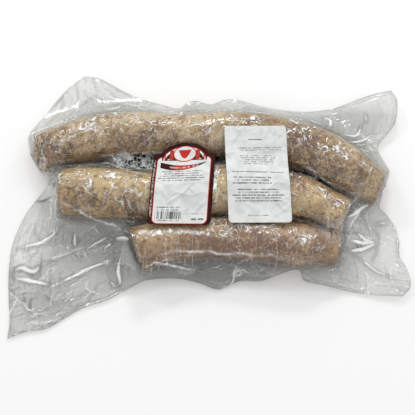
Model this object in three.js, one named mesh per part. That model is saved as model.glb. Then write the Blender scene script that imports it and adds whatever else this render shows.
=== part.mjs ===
// A vacuum pack of three thick raw sausages, lying flat, with two paper labels on top.
// Units are millimetres, +Z is up, +X runs along the pack and +Y away from the viewer.
// The origin is on the floor, under the middle of the pack's bounding box.
import * as THREE from 'three';

// Each sausage's axis, left to right, as [x, y, radius]. It lies on the floor, so its height is its radius.
const BACK_SAUSAGE = [
  [-182.5, 51, 19.5], [-166, 57.5, 21], [-135, 65, 24], [-90, 69.5, 25], [-34, 70, 23.8], [-10, 68.5, 25.5],
  [44, 66.5, 26.5], [92, 57, 26.9], [133, 37, 26.4], [158, 23, 23.5], [182, 13, 18],
];
const MIDDLE_SAUSAGE = [
  [-157, 5, 24.5], [-115, 4, 27], [-65, 0, 25.5], [-20, 4.5, 26.5], [20, 7, 27.5],
  [58, 4, 27], [100, -5.5, 25.5], [141, -24.5, 22],
];
const FRONT_SAUSAGE = [
  [-75, -58, 23.8], [-57, -51, 22.5], [-35, -46.5, 21.5], [-5, -44, 21.5], [35, -44.5, 22], [72, -48, 22.7],
  [96, -50.5, 22.3], [118, -52, 19.5], [134.5, -56.5, 16],
];
const FLOOR_PRESS = 1.5; // how much its weight flattens a sausage where it rests
const LUMP = 0.035; // unevenness of the filling, as a share of the radius

// The bag's edge as [x, y], side by side between its four corners. Each nip is where the film is drawn in.
const LEFT_FRONT_CORNER = [-206, -146];
const RIGHT_FRONT_CORNER = [199, -103];
const LEFT_BACK_CORNER = [-139, 144];
const RIGHT_BACK_CORNER = [202, 127];
const FRONT_EDGE = [
  LEFT_FRONT_CORNER, [-187, -139], [-168, -136], [-132, -115], [-108, -107], [-87, -96], [-62, -88],
  [-34, -85], [-10, -89], [9, -95], [31, -87], [54, -87], [71, -82], [92, -78],
  [97, -87], [118, -91], [139, -96], [168, -101], RIGHT_FRONT_CORNER,
];
const BACK_EDGE = [
  LEFT_BACK_CORNER, [-123, 142], [-95, 129], [-55, 114], [-33, 106], [-25, 116],
  [-15, 119], [2, 112], [15, 118], [28, 119], [71, 108], [96, 105.5], [140, 111],
  [172, 121], RIGHT_BACK_CORNER,
];
const LEFT_EDGE = [
  LEFT_FRONT_CORNER, [-205, -130], [-208, -106], [-210, -74], [-208, -44], [-197, -14], [-188, 1],
  [-173.5, 21.5], [-181, 31], [-189, 42], [-195, 54], [-196.8, 66], [-195.5, 77], [-190, 88.5], [-172, 115],
  [-158, 130], LEFT_BACK_CORNER,
];
const RIGHT_EDGE = [
  RIGHT_FRONT_CORNER, [207, -95], [209, -86], [205, -71], [200, -60], [201, -45], [198, -28],
  [189.5, -15.5], [181, -9], [183, 2], [189, 17], [193.5, 32], [189, 46], [185, 61], [190, 71], [203.5, 86],
  [208, 102], [208, 116], RIGHT_BACK_CORNER,
];

// The bag is a sheet of cells that closes round the sausages. Its lines across the pack run from the left
// edge to the right one, and each sausage lies between two of them.
const LINES = 46;
const SAUSAGES = [
  { points: FRONT_SAUSAGE, lines: [15, 38], leftShares: [0.13, 0.3], rightShares: [0.1, 0.22] },
  { points: MIDDLE_SAUSAGE, lines: [5, 39], leftShares: [0.4, 0.54], rightShares: [0.26, 0.34] },
  { points: BACK_SAUSAGE, lines: [2, 44], leftShares: [0.58, 0.72], rightShares: [0.4, 0.55] },
];
const ROUND_CELLS = 10; // over a sausage
const FRONT_CELLS = 4; // from the bag's front edge to the front sausage
const VALLEY_CELLS = 2; // between two sausages
const BACK_CELLS = 5; // from the back sausage to the bag's back edge
// The cells from the front edge to the back one: film and sausages in turn.
const BANDS = [FRONT_CELLS, ROUND_CELLS, VALLEY_CELLS, ROUND_CELLS, VALLEY_CELLS, ROUND_CELLS, BACK_CELLS];
const CROWDING = 1.3; // how much closer the cells lie beside a sausage than at the bag's edge

// The film's two plies meet at the sausages' mid height and sink to the floor further out.
const PLY_HALF = 0.6; // half of the two plies with the air between them
const FILM_LOW = 1.6; // height of the film's middle where it lies on the floor
const FILM_FALL = 17; // how far from a sausage the film has sunk
const TENT_REACH = 12; // how far from a sausage the film still stands off its side
const TENT_HEIGHT = 0.52; // height of that slope above and below mid height, as a share of the radius
const WAVE = 1.8; // height of the film's low waves
// Where the film stands up off the floor, as [x, y, height, width].
const FILM_LIFTS = [
  [-139, 150, 16, 48], [205, 128, 15, 50], [-212, 62, 8, 30], [212, -96, 5, 34], [20, 128, 7, 34],
];

// The labels. Each lies over the crests of the sausages and sags into the valleys between them.
const LABEL_THICKNESS = 0.7;
const LABEL_GAP = 0.5; // kept to the bag
const LABEL_SAG = [4.6, 1.4]; // behind and before the middle sausage's crest
const LABEL_CORNER = 3.5; // radius
const ARCH_FULLNESS = 0.6; // of the weight label's arched top, from 1, a wave, down to 0, a block
const WEIGHT_LABEL = {
  x: -31, y: -37, width: 64, height: 76, lean: 0.073, arch: 12, archWidth: 49, cells: [12, 14],
};
const LIST_LABEL = {
  x: 51.5, y: -35.5, width: 64, height: 103, lean: -0.04, arch: 0, archWidth: 0, cells: [10, 18],
};

const CASING = new THREE.Color(0.66, 0.53, 0.4);
const DARK_RED = new THREE.Color(0.36, 0.1, 0.08);
const PAPER = new THREE.Color(0.85, 0.87, 0.86);

const PLAN_SAMPLES = 80; // along each sausage, to measure distances from it
const ON_THE_CUT = 1e-6; // a point this close past a cut end still counts as on it

function curveThrough(points) {
  return new THREE.CatmullRomCurve3(points.map(([x, y, r = 0]) => new THREE.Vector3(x, y, r)));
}

function lerpPoint(a, b, t) {
  return { x: THREE.MathUtils.lerp(a.x, b.x, t), y: THREE.MathUtils.lerp(a.y, b.y, t) };
}

// A closed sheet of cells with an upper and a lower face, both split into triangles alike.
function makeSheet([columns, rows], place) {
  const positions = [];
  for (const upper of [true, false]) {
    for (let j = 0; j <= rows; j++) {
      for (let i = 0; i <= columns; i++) positions.push(...place(i, j, upper));
    }
  }
  const layer = (columns + 1) * (rows + 1);
  const at = (i, j) => j * (columns + 1) + i;
  const faces = [];
  for (let j = 0; j < rows; j++) {
    for (let i = 0; i < columns; i++) {
      const [a, b, c, d] = [at(i, j), at(i + 1, j), at(i + 1, j + 1), at(i, j + 1)];
      faces.push(a, b, c, a, c, d);
      faces.push(a + layer, c + layer, b + layer, a + layer, d + layer, c + layer);
    }
  }
  const rim = [];
  for (let i = 0; i < columns; i++) rim.push(at(i, 0));
  for (let j = 0; j < rows; j++) rim.push(at(columns, j));
  for (let i = columns; i > 0; i--) rim.push(at(i, rows));
  for (let j = rows; j > 0; j--) rim.push(at(0, j));
  rim.forEach((a, n) => {
    const b = rim[(n + 1) % rim.length];
    faces.push(a + layer, b + layer, b, a + layer, b, a);
  });
  const geometry = new THREE.BufferGeometry();
  geometry.setAttribute('position', new THREE.Float32BufferAttribute(positions, 3));
  geometry.setIndex(faces);
  geometry.computeVertexNormals();
  return geometry;
}

// Samples of a sausage's axis in plan, with the distance s run along it and a mark on both cut ends.
function planOf({ points }) {
  const axis = curveThrough(points);
  const length = axis.getLength();
  const samples = [];
  for (let i = 0; i <= PLAN_SAMPLES; i++) {
    const { x, y, z: radius } = axis.getPointAt(i / PLAN_SAMPLES);
    const tangent = axis.getTangentAt(i / PLAN_SAMPLES).setZ(0).normalize();
    samples.push({ x, y, radius, tangent, end: 0, s: length * i / PLAN_SAMPLES });
  }
  samples[0].end = -1;
  samples[PLAN_SAMPLES].end = 1;
  return samples;
}

const PLANS = SAUSAGES.map(planOf);

// A casing filled by hand is never round: broad dents and swellings, the same on every build.
function lump(s, side) {
  const broad = 0.2 * Math.sin(s / 28 - 3 * side);
  const middling = 0.5 * Math.sin(s / 17 + 2.2 * side);
  const narrow = 0.3 * Math.sin(s / 9.5 - 1.3 * side + 1.7);
  return broad + middling + narrow;
}

// Where a point in plan lies beside one sausage: the gap to it, and half its thickness there.
function beside(samples, x, y) {
  const distance = (sample) => Math.hypot(x - sample.x, y - sample.y);
  const near = samples.reduce((best, sample) => (distance(sample) < distance(best) ? sample : best));
  const along = (x - near.x) * near.tangent.x + (y - near.y) * near.tangent.y;
  const across = (y - near.y) * near.tangent.x - (x - near.x) * near.tangent.y;
  const beyond = Math.max(along * near.end, 0);
  const gap = Math.hypot(Math.max(Math.abs(across) - near.radius, 0), beyond);
  const radius = near.radius * (1 + LUMP * lump(near.s, across / near.radius));
  const half = beyond > ON_THE_CUT ? 0 : Math.sqrt(Math.max(radius ** 2 - across ** 2, 0));
  return { gap, half, radius: near.radius };
}

// The bag's upper and lower height at a point in plan.
function bagAt(x, y) {
  const sides = PLANS.map((samples) => beside(samples, x, y));
  const { gap, radius } = sides.reduce((a, b) => (b.gap < a.gap ? b : a));
  const waves = WAVE * (1 + Math.sin(x / 15 + y / 29) * Math.sin(y / 17 - x / 41)) / 2;
  const lifts = FILM_LIFTS.map(([liftX, liftY, height, width]) => (
    height * Math.exp(-((x - liftX) ** 2 + (y - liftY) ** 2) / width ** 2)
  ));
  const low = lifts.reduce((sum, lift) => sum + lift, FILM_LOW + waves);
  const near = Math.exp(-((gap / FILM_FALL) ** 2));
  const middle = low + (radius - FLOOR_PRESS - low) * near;
  const tent = PLY_HALF + TENT_HEIGHT * radius * Math.max(1 - gap / TENT_REACH, 0) ** 2;
  const inside = sides.filter((side) => side.half > 0);
  const tops = inside.map((side) => side.radius + side.half - FLOOR_PRESS);
  const bottoms = inside.map((side) => side.radius - side.half - FLOOR_PRESS);
  return {
    top: Math.max(middle + tent, ...tops),
    bottom: Math.max(Math.min(middle - tent, ...bottoms), 0),
  };
}

// The points in plan of a sausage's strip of the sheet, as a function of the line and of the share from its
// front side to its back side. Over the sausage they lie at equal angles round it.
function stripOf({ points, lines: [first, last], leftShares, rightShares }, leftEdge, rightEdge) {
  const axis = curveThrough(points);
  const section = (along, share) => {
    const centre = axis.getPointAt(along);
    const tangent = axis.getTangentAt(along).setZ(0).normalize();
    const side = centre.z * Math.sin(Math.PI * (share - 0.5));
    return { x: centre.x - tangent.y * side, y: centre.y + tangent.x * side };
  };
  const beyond = (end, edge, [from, to], share, outward) => {
    const rim = edge.getPointAt(THREE.MathUtils.lerp(from, to, share));
    return lerpPoint(section(end, share), rim, outward ** CROWDING);
  };
  return (line, share) => {
    if (line < first) return beyond(0, leftEdge, leftShares, share, 1 - line / first);
    if (line > last) return beyond(1, rightEdge, rightShares, share, (line - last) / (LINES - last));
    return section((line - first) / (last - first), share);
  };
}

// The place in plan of every point of the sheet, as a function of the line and the row.
function layOut() {
  const frontEdge = curveThrough(FRONT_EDGE);
  const backEdge = curveThrough(BACK_EDGE);
  const leftEdge = curveThrough(LEFT_EDGE);
  const rightEdge = curveThrough(RIGHT_EDGE);
  const strips = SAUSAGES.map((sausage) => stripOf(sausage, leftEdge, rightEdge));
  const leftKnots = [0, ...SAUSAGES.flatMap((sausage) => sausage.leftShares), 1];
  const rightKnots = [0, ...SAUSAGES.flatMap((sausage) => sausage.rightShares), 1];
  const onEdge = (edge, knots, band, share) => (
    edge.getPointAt(THREE.MathUtils.lerp(knots[band], knots[band + 1], share))
  );
  // An odd band is a sausage. An even one is the film from the sausage before it to the one behind it.
  const inside = (line, band, share) => {
    const before = strips[Math.ceil(band / 2) - 1];
    const behind = strips[Math.floor(band / 2)];
    const along = line / LINES;
    if (band % 2 === 1) return behind(line, share);
    if (!before) return lerpPoint(behind(line, 0), frontEdge.getPointAt(along), (1 - share) ** CROWDING);
    if (!behind) return lerpPoint(before(line, 1), backEdge.getPointAt(along), share ** CROWDING);
    return lerpPoint(before(line, 1), behind(line, 0), share);
  };
  return (line, row) => {
    let band = 0;
    let start = 0;
    while (row > start + BANDS[band]) start += BANDS[band++];
    const share = (row - start) / BANDS[band];
    if (line === 0) return onEdge(leftEdge, leftKnots, band, share);
    if (line === LINES) return onEdge(rightEdge, rightKnots, band, share);
    return inside(line, band, share);
  };
}

function makeBag() {
  const place = layOut();
  const rows = BANDS.reduce((sum, cells) => sum + cells);
  return makeSheet([LINES, rows], (line, row, upper) => {
    const { x, y } = place(line, row);
    const { top, bottom } = bagAt(x, y);
    return [x, y, upper ? top : bottom];
  });
}

// The height of a sausage's crest at a given x, with the place of its axis.
function crestAt(samples, x) {
  const right = Math.max(samples.findIndex((sample) => sample.x > x), 1);
  const [a, b] = [samples[right - 1], samples[right]];
  const t = (x - a.x) / (b.x - a.x);
  const radius = a.radius + (b.radius - a.radius) * t;
  return { y: a.y + (b.y - a.y) * t, z: 2 * radius * (1 + LUMP / 2) - FLOOR_PRESS };
}

// A label's underside, which bridges the valleys between the crests.
function drapeAt(x, y) {
  const [front, middle, back] = PLANS.map((samples) => crestAt(samples, x));
  const [other, sag] = y > middle.y ? [back, LABEL_SAG[0]] : [front, LABEL_SAG[1]];
  const s = (y - middle.y) / (other.y - middle.y);
  return middle.z + (other.z - middle.z) * s - sag * Math.sin(Math.PI * s) ** 2 + LABEL_GAP;
}

// A point of a label's flat outline, from the middle of its lower edge, for u and v from 0 to 1.
function labelOutline({ width, height, arch, archWidth }, u, v) {
  const x = (u - 0.5) * width;
  const beyond = Math.max(Math.abs(x) - (width / 2 - LABEL_CORNER), 0);
  const corner = LABEL_CORNER - Math.sqrt(LABEL_CORNER ** 2 - beyond ** 2);
  const rise = Math.abs(x) < archWidth / 2 ? arch * Math.cos(Math.PI * x / archWidth) ** ARCH_FULLNESS : 0;
  return { x, y: THREE.MathUtils.lerp(corner, height - corner + rise, v) };
}

function makeLabel(label) {
  const [columns, rows] = label.cells;
  return makeSheet(label.cells, (i, j, upper) => {
    const flat = labelOutline(label, i / columns, j / rows);
    const x = label.x + flat.x + label.lean * flat.y;
    const y = label.y + flat.y;
    return [x, y, drapeAt(x, y) + (upper ? LABEL_THICKNESS : 0)];
  });
}

function addMesh(group, name, geometry, color, roughness) {
  const mesh = new THREE.Mesh(geometry, new THREE.MeshStandardMaterial({ color, roughness, metalness: 0 }));
  mesh.name = name;
  group.add(mesh);
}

const pack = new THREE.Group();
addMesh(pack, 'bag', makeBag(), CASING, 0.25);
addMesh(pack, 'weight_label', makeLabel(WEIGHT_LABEL), DARK_RED, 0.5);
addMesh(pack, 'list_label', makeLabel(LIST_LABEL), PAPER, 0.6);

// The pack's box stands centred over the origin.
const box = new THREE.Box3().setFromObject(pack);
pack.position.set(-(box.min.x + box.max.x) / 2, -(box.min.y + box.max.y) / 2, -box.min.z);

export default pack;
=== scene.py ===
"""A vacuum pack of three thick raw sausages with two paper labels.

Lengths are in millimetres until a mesh is made, which turns them into metres. +X runs along the pack,
+Y away from the viewer and +Z up, as in the CAD frame. The film is two plies of a fine grid: each lies on
a smooth base over the sausages and the floor, and is then given a little too much length, so that it
buckles into wrinkles.
"""
import math

import bpy
import numpy as np
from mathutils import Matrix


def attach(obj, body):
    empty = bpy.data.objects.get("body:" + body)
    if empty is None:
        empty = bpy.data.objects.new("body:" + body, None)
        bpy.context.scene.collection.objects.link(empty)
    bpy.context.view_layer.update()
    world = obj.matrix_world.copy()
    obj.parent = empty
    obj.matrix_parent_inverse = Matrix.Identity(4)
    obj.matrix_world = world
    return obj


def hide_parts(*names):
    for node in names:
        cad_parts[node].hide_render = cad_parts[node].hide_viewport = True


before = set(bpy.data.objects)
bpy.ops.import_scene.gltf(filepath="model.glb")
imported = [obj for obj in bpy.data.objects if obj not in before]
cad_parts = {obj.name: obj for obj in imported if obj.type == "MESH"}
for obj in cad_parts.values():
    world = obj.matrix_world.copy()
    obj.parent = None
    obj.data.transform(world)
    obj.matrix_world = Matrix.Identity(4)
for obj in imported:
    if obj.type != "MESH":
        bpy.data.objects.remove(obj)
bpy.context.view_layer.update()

MM = 0.001
SEED = 20

# Sausages: each axis as [x, y, radius], left to right, as in the CAD model. They lie on the floor.
BACK_SAUSAGE = [
    [-182.5, 51, 19.5], [-166, 57.5, 21], [-135, 65, 24], [-90, 69.5, 25], [-34, 70, 23.8],
    [-10, 68.5, 25.5], [44, 66.5, 26.5], [92, 57, 26.9], [133, 37, 26.4], [158, 23, 23.5], [182, 13, 18],
]
MIDDLE_SAUSAGE = [
    [-157, 5, 24.5], [-115, 4, 27], [-65, 0, 25.5], [-20, 4.5, 26.5], [20, 7, 27.5], [58, 4, 27],
    [100, -5.5, 25.5], [141, -24.5, 22],
]
FRONT_SAUSAGE = [
    [-75, -58, 23.8], [-57, -51, 22.5], [-35, -46.5, 21.5], [-5, -44, 21.5], [35, -44.5, 22],
    [72, -48, 22.7], [96, -50.5, 22.3], [118, -52, 19.5], [134.5, -56.5, 16],
]
FLOOR_PRESS = 1.5
LUMP = 0.035

# Patches of the meat, as [x, y, reach, share]. The lighter ones lie mostly on the sausages' upper sides and
# are partly fatty meat, partly painted light. The browner ones lie mostly on their lower front sides and are
# partly browner meat, partly painted shade. The red ones are redder meat.
FAT_AND_LIGHT_PATCHES = [
    [-60, 84, 22, 1], [-130, 66, 18, 0.6], [-20, 82, 22, 0.9], [20, 82, 24, 0.6], [-95, 80, 20, 0.6],
    [140, 38, 16, 0.4], [120, 45, 16, 0.2], [-125, 20, 26, 0.75], [-90, 14, 20, 0.8], [110, -2, 12, 1.1],
    [122, -12, 12, 1.1], [98, 0, 12, 1], [20, 5, 16, 0.6], [85, -12, 14, 0.7], [165, 22, 12, 0.4],
    [-60, -5, 16, 0.4], [-52, -44, 16, 0.7], [-22, -42, 14, 0.5], [92, -42, 14, 1], [70, -40, 12, 0.7],
]
BROWN_AND_SHADE_PATCHES = [
    [-158, 40, 18, 0.6], [-110, 52, 20, 0.7], [-74, 50, 16, 0.8], [-30, 50, 18, 0.6], [100, 45, 16, 1.1],
    [125, 20, 16, 1.1], [150, 8, 16, 0.9], [60, 80, 18, 0.7], [95, 72, 16, 0.7], [-140, -12, 16, 0.7],
    [-112, -14, 16, 0.6], [-75, -20, 18, 0.8], [88, 14, 12, 0.9], [96, 8, 8, 0.5], [75, 5, 10, 0.6],
    [-60, -70, 14, 1.1], [-20, -62, 16, 1.4], [30, -62, 16, 1.4], [70, -66, 16, 1.2], [5, -58, 12, 1.2],
    [48, -58, 12, 1.2], [110, -66, 16, 0.9], [-62, 62, 10, 0.6], [40, 48, 20, 0.7], [93, -26, 9, 1.2],
    [108, -31, 8, 1.2], [121, -35, 8, 1], [112, -15, 6, 1], [118, 56, 14, 0.6], [101, -8, 5, 0.8],
    [121, -4, 5, 0.8],
]
RED_PATCHES = [
    [89, 6, 9, 0.7], [98, 2, 7, 0.6], [128, -13, 5, 1.2], [80, -6, 10, 0.8], [-70, -62, 6, 0.3],
    [100, -33, 9, 0.4], [110, -6, 4, 0.9], [118, -16, 5, 0.9],
]
MOST_PATCH = 1.5
CUT_RIM = 5  # how far the redder rim of a cut end reaches
CUT_REDNESS = 0.5

# The bag's edge as [x, y] between its four corners, as in the CAD model.
LEFT_FRONT_CORNER = [-206, -146]
RIGHT_FRONT_CORNER = [199, -103]
LEFT_BACK_CORNER = [-139, 144]
RIGHT_BACK_CORNER = [202, 127]
FRONT_EDGE = [
    LEFT_FRONT_CORNER, [-187, -139], [-168, -136], [-132, -115], [-108, -107], [-87, -96], [-62, -88],
    [-34, -85], [-10, -89], [9, -95], [31, -87], [54, -87], [71, -82], [92, -78], [97, -87], [118, -91],
    [139, -96], [168, -101], RIGHT_FRONT_CORNER,
]
BACK_EDGE = [
    LEFT_BACK_CORNER, [-123, 142], [-95, 129], [-55, 114], [-33, 106], [-25, 116], [-15, 119], [2, 112],
    [15, 118], [28, 119], [71, 108], [96, 105.5], [140, 111], [172, 121], RIGHT_BACK_CORNER,
]
LEFT_EDGE = [
    LEFT_FRONT_CORNER, [-205, -130], [-208, -106], [-210, -74], [-208, -44], [-197, -14], [-188, 1],
    [-173.5, 21.5], [-181, 31], [-189, 42], [-195, 54], [-196.8, 66], [-195.5, 77], [-190, 88.5],
    [-172, 115], [-158, 130], LEFT_BACK_CORNER,
]
RIGHT_EDGE = [
    RIGHT_FRONT_CORNER, [207, -95], [209, -86], [205, -71], [200, -60], [201, -45], [198, -28],
    [189.5, -15.5], [181, -9], [183, 2], [189, 17], [193.5, 32], [189, 46], [185, 61], [190, 71],
    [203.5, 86], [208, 102], [208, 116], RIGHT_BACK_CORNER,
]
EDGE_FADE = 4  # how soon the shapes of the left and right edges fade inward

# How the film stands, as in the CAD model, but tighter round the sausages.
FILM_LOW = 1.6
FILM_FALL = 17
WAVE = 1.8
# Where its edge lifts, as [x, y, reach, height].
FILM_LIFTS = [
    [-139, 150, 48, 16], [205, 128, 50, 15], [-212, 62, 30, 8], [212, -96, 34, 5], [20, 128, 34, 7],
]
TENT_REACH = 8
TENT_HEIGHT = 0.3
PLY_HALF = 0.5
CLING = 0.45  # between the casing and the film
LOWEST_BASE = 0.25
LOWEST_FILM = 0.08

# Labels, as in the CAD model.
LABEL_GAP = 0.5
LABEL_SAG = [4.6, 1.4]
LABEL_CORNER = 3.5
LABEL_MARGIN = 2  # how far beside a label the film stays under it
LABEL_REST = 0.15  # between the draped surface and either the film below or the label above
ARCH_FULLNESS = 0.6
WEIGHT_LABEL = dict(x=-31, y=-37, width=64, height=76, lean=0.073, arch=12, arch_width=49)
LIST_LABEL = dict(x=51.5, y=-35.5, width=64, height=103, lean=-0.04, arch=0, arch_width=0)

# Cut ends: how far the cut leans outward at the bottom, as a share of height, at each sausage's two ends.
BACK_SLANTS = (0.5, 0.06)
MIDDLE_SLANTS = (0.06, 0.1)
FRONT_SLANTS = (0.12, 0.08)
LEAN_REACH = 34

# The film's main creases, as lines of (height, half width, x0, y0, x1, y1 and so on).
CREASES = [
    (2.6, 3.5, -204, -52, -191, -48, -178, -45, -160, -34, -152, -27),
    (2.4, 6, -208, -76, -198, -72, -184, -76, -175, -66), (2.6, 4, -208, -82, -186, -86, -161, -91),
    (2.4, 3.5, -161, -91, -125, -72, -110, -67, -92, -62),
    (1.8, 3, -184, -76, -167, -64, -149, -56, -135, -42), (1.8, 3, -146, -56, -137, -59, -138, -66),
    (2.2, 3.5, -111, -56, -108, -49, -100, -46), (2, 4, -134, -57, -126, -49, -101, -38),
    (2.6, 4, -101, -42, -89, -45, -80, -49), (2.6, 4, -94, -64, -95, -75, -93, -84, -94, -93),
    (2, 4, -105, -85, -96, -94),
    (1.4, 2.5, -198, -128, -179, -118, -157, -111, -132, -101, -110, -86, -103, -78),
    (1, 2.5, -197, -128, -168, -121, -150, -118, -123, -104),
    (1.6, 3, -193, -98, -191, -112, -186, -118, -185, -106), (1.4, 3, -173, -98, -168, -103, -162, -109),
    (2.2, 3.5, -140, -33, -142, -43, -142, -53), (1.6, 3, -187, -25, -185, -33, -180, -45),
    (1.6, 4, -192, -56, -193, -50, -192, -46), (1.6, 3, -157, 132, -170, 117, -188, 95),
    (1.6, 3, -164, 126, -165, 107, -177, 91, -186, 84), (1.5, 3, -126, 124, -136, 115, -151, 99, -159, 90),
    (2, 3, -111, 110, -91, 112, -66, 107), (2.2, 3, -122, 110, -115, 104, -104, 105, -91, 111),
    (2.4, 4, 122, 97, 134, 97, 134, 90, 131, 79), (1.8, 4, 97, 114, 103, 104, 113, 92),
    (2.4, 4, 140, 74, 154, 74, 163, 78, 169, 91), (2.6, 3.5, 143, 60, 157, 64, 171, 72, 184, 80),
    (2, 3, 149, 56, 164, 61, 181, 68), (2.4, 3.5, 189, 61, 197, 74, 205, 88, 207, 96),
    (2, 4, 173, 103, 174, 91), (2, 3, 146, 53, 160, 51, 184, 57), (2, 4, 189, 14, 181, 3),
    (2.8, 4, 144, -54, 151, -55, 165, -50, 180, -45), (2.8, 4, 148, -47, 158, -45, 179, -44),
    (2.4, 3.5, 152, -33, 162, -40, 180, -45), (2, 3.5, 152, -58, 167, -70, 179, -78, 194, -83),
    (1.6, 3, 180, -45, 176, -55, 171, -66), (1.6, 3, 180, -45, 179, -35, 173, -30),
    (2.4, 4, 141, -26, 158, -13, 174, -5), (2, 4, 144, -40, 153, -22, 165, -3), (2, 4, 175, -26, 191, -22),
    (2, 3.5, -70, -72, -52, -74, -35, -74, -22, -76, -6, -77),
]

# Where the film's tint is darker or lighter than elsewhere, as [x, y, reach, share]. The spots in front of
# the front sausage and in the valley between the back and middle sausages are painted shadow.
SHADES = [
    [-145, 109, 42, -0.06], [-182, 85, 34, -0.25], [-166, -92, 42, 0.22], [-126, -42, 26, 0.3],
    [-99, -68, 24, 0.25], [-198, -60, 26, -0.3], [-195, -20, 22, -0.25], [134, 86, 34, 0.2],
    [180, 109, 34, -0.02], [150, -16, 18, 0.25], [185, -56, 34, -0.2], [-10, -82, 26, 0.5],
    [-50, -82, 22, 0.45], [35, -82, 26, 0.5], [75, -82, 24, 0.45], [40, 112, 30, 0.15], [-83, 37, 22, 2.2],
    [-58, 35, 18, 2.1],
]
LEAST_SHADE = 0.24
UNEVEN_SHADE = 0.12
# Painted shadow in the film's tint beside a sausage, and how far it reaches.
NEAR_SHADE = 0.7  # beside a sausage
NEAR_REACH = 7

# The slope on which the painted glints of the film's fine wrinkles are strongest, as where they would catch
# the light most.
GLINT_NORMAL = [0, 0.28, 1]

# Where the film is crumpled, with painted silver glints and more gloss, as [x, y, reach along X, reach along
# Y, share].
CRUMPLES = [
    [-86, 38, 16, 7, 1], [-66, 36, 12, 7, 0.8], [-160, 0, 4, 24, 0.4], [128, -40, 20, 9, 0.3],
    [150, -20, 12, 22, 0.3], [-172, 24, 9, 9, 0.4],
]

# Where the film is clear over a cut face, as [x, y, reach, share].
BARE = [-188, 52, 13, 1.3]

# Dark lines behind the film, given as the creases are: mostly painted shadow in the crevices between the
# sausages, put into the film's tint.
CREVICES = [
    (5, 2.8, 80, 26.5, 96, 23.5, 109, 18, 122, 10, 133, 3, 143, -3), (3.4, 4.5, 4, 42.5, 10, 41, 16, 39),
    (2.4, 1.4, 1, -34, 14, -34.6), (2.8, 2.4, -120, 37.5, -109, 40, -98, 42.5, -84, 44, -66, 44),
    (3.2, 1.8, 83, -25, 102, -29.5, 118, -37.5, 126, -46), (4, 1.7, -187, 1.3, -169, 1.3),
    (4.5, 2.2, -165, 16, -166, 11), (4, 2, 157, -48, 157, -54), (4, 1.8, -160, -31, -161, -36),
]

# Painted highlights: thin white lines on the film where its ridges catch the light, given in the same way.
PAINTED_GLINT_LINES = [
    (0.8, 1.5, -174, 32, -148, 34, -130, 35, -108, 37, -95, 30, -84, 22, -62, 17),
    (0.8, 1.3, -151, -13, -130, -22, -110, -28, -93, -35, -80, -43),
    (1, 1.4, -70, -70, -58, -67, -44, -64, -30, -62.5, -9, -61.5, 6, -62.5, 31, -64, 56, -66, 74, -69),
    (0.7, 1.1, -70, -80, -52, -73, -36, -68.5), (0.9, 1, 96, 27, 110, 21.5, 123, 13.5, 134, 7),
    (0.5, 1, 86, 22.5, 96, 20, 108, 14, 120, 6), (1, 1.8, -73, -49, -67, -44, -59, -48, -52, -43),
    (0.7, 1.5, -40, -47, -28, -42, -13, -46, -6, -44),
    (0.8, 1.6, 13, -36, 21, -41, 31, -34.5, 43, -41.5, 53, -37, 66, -42.5),
    (0.5, 2, -166, 14, -162, 0, -162, -13, -160, -27),
]

# Zigzag runs of painted glints, standing for light caught on thin wrinkles, as [x0, y0, x1, y1, turns, reach
# aside, height].
GLINT_ZIGZAGS = [
    [-72, -46, -40, -43, 12, 3.5, 1.4], [-38, -44, -6, -44, 11, 3.5, 1.3], [15, -37, 68, -39, 17, 3.5, 1.3],
    [74, -42, 108, -50, 10, 4, 1.1], [78, -50, 116, -58, 12, 5, 1.1], [-100, 4, -70, -8, 10, 7, 1.1],
    [-96, -12, -66, -18, 9, 6, 1.1], [-138, 16, -122, 10, 4, 4, 1], [-162, 54, -140, 60, 6, 3.5, 1.1],
    [-128, 68, -112, 62, 6, 5, 1.2], [-100, 84, -92, 62, 6, 3, 0.8], [-52, 80, -30, 70, 6, 3.5, 0.8],
    [104, 52, 150, 32, 12, 4, 0.7], [92, -6, 118, -13, 8, 4, 0.6], [-102, 40, -56, 38, 16, 4, 1.4],
    [-98, 34, -54, 32, 15, 4, 1.4],
]
SCRIBBLE_SHARE = 0.82  # of a run's sides that are there
SCRIBBLE_WIDTH = 1.35

# Directions in which the film is pulled, as [x0, y0, x1, y1]: its wrinkles run along them.
PULLS = [
    [-150, -20, -206, -146], [-80, -70, -200, -140], [-160, 0, -208, -50], [-90, -60, -170, -110],
    [-180, 60, -140, 145], [-120, 85, -145, 140], [-60, 100, -130, 125], [-190, 60, -180, 100],
    [120, 75, 200, 128], [160, 45, 205, 110], [60, 95, 160, 115], [185, 30, 195, 60], [150, -40, 205, -60],
    [140, -70, 198, -100], [185, 0, 195, -30], [150, -20, 190, -10], [-60, -85, 60, -85],
    [-40, 112, 60, 112], [100, -85, 160, -98],
]
PULL_REACH = 30


def smoothstep(low, high, value):
    t = np.clip((value - low) / (high - low), 0, 1)
    return t * t * (3 - 2 * t)


def add_spots(field, x, y, spots):
    """A field with soft round spots added, each as [x, y, reach, height]."""
    for spot_x, spot_y, reach, height in spots:
        field = field + height * np.exp(-((x - spot_x) ** 2 + (y - spot_y) ** 2) / reach ** 2)
    return field


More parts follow.
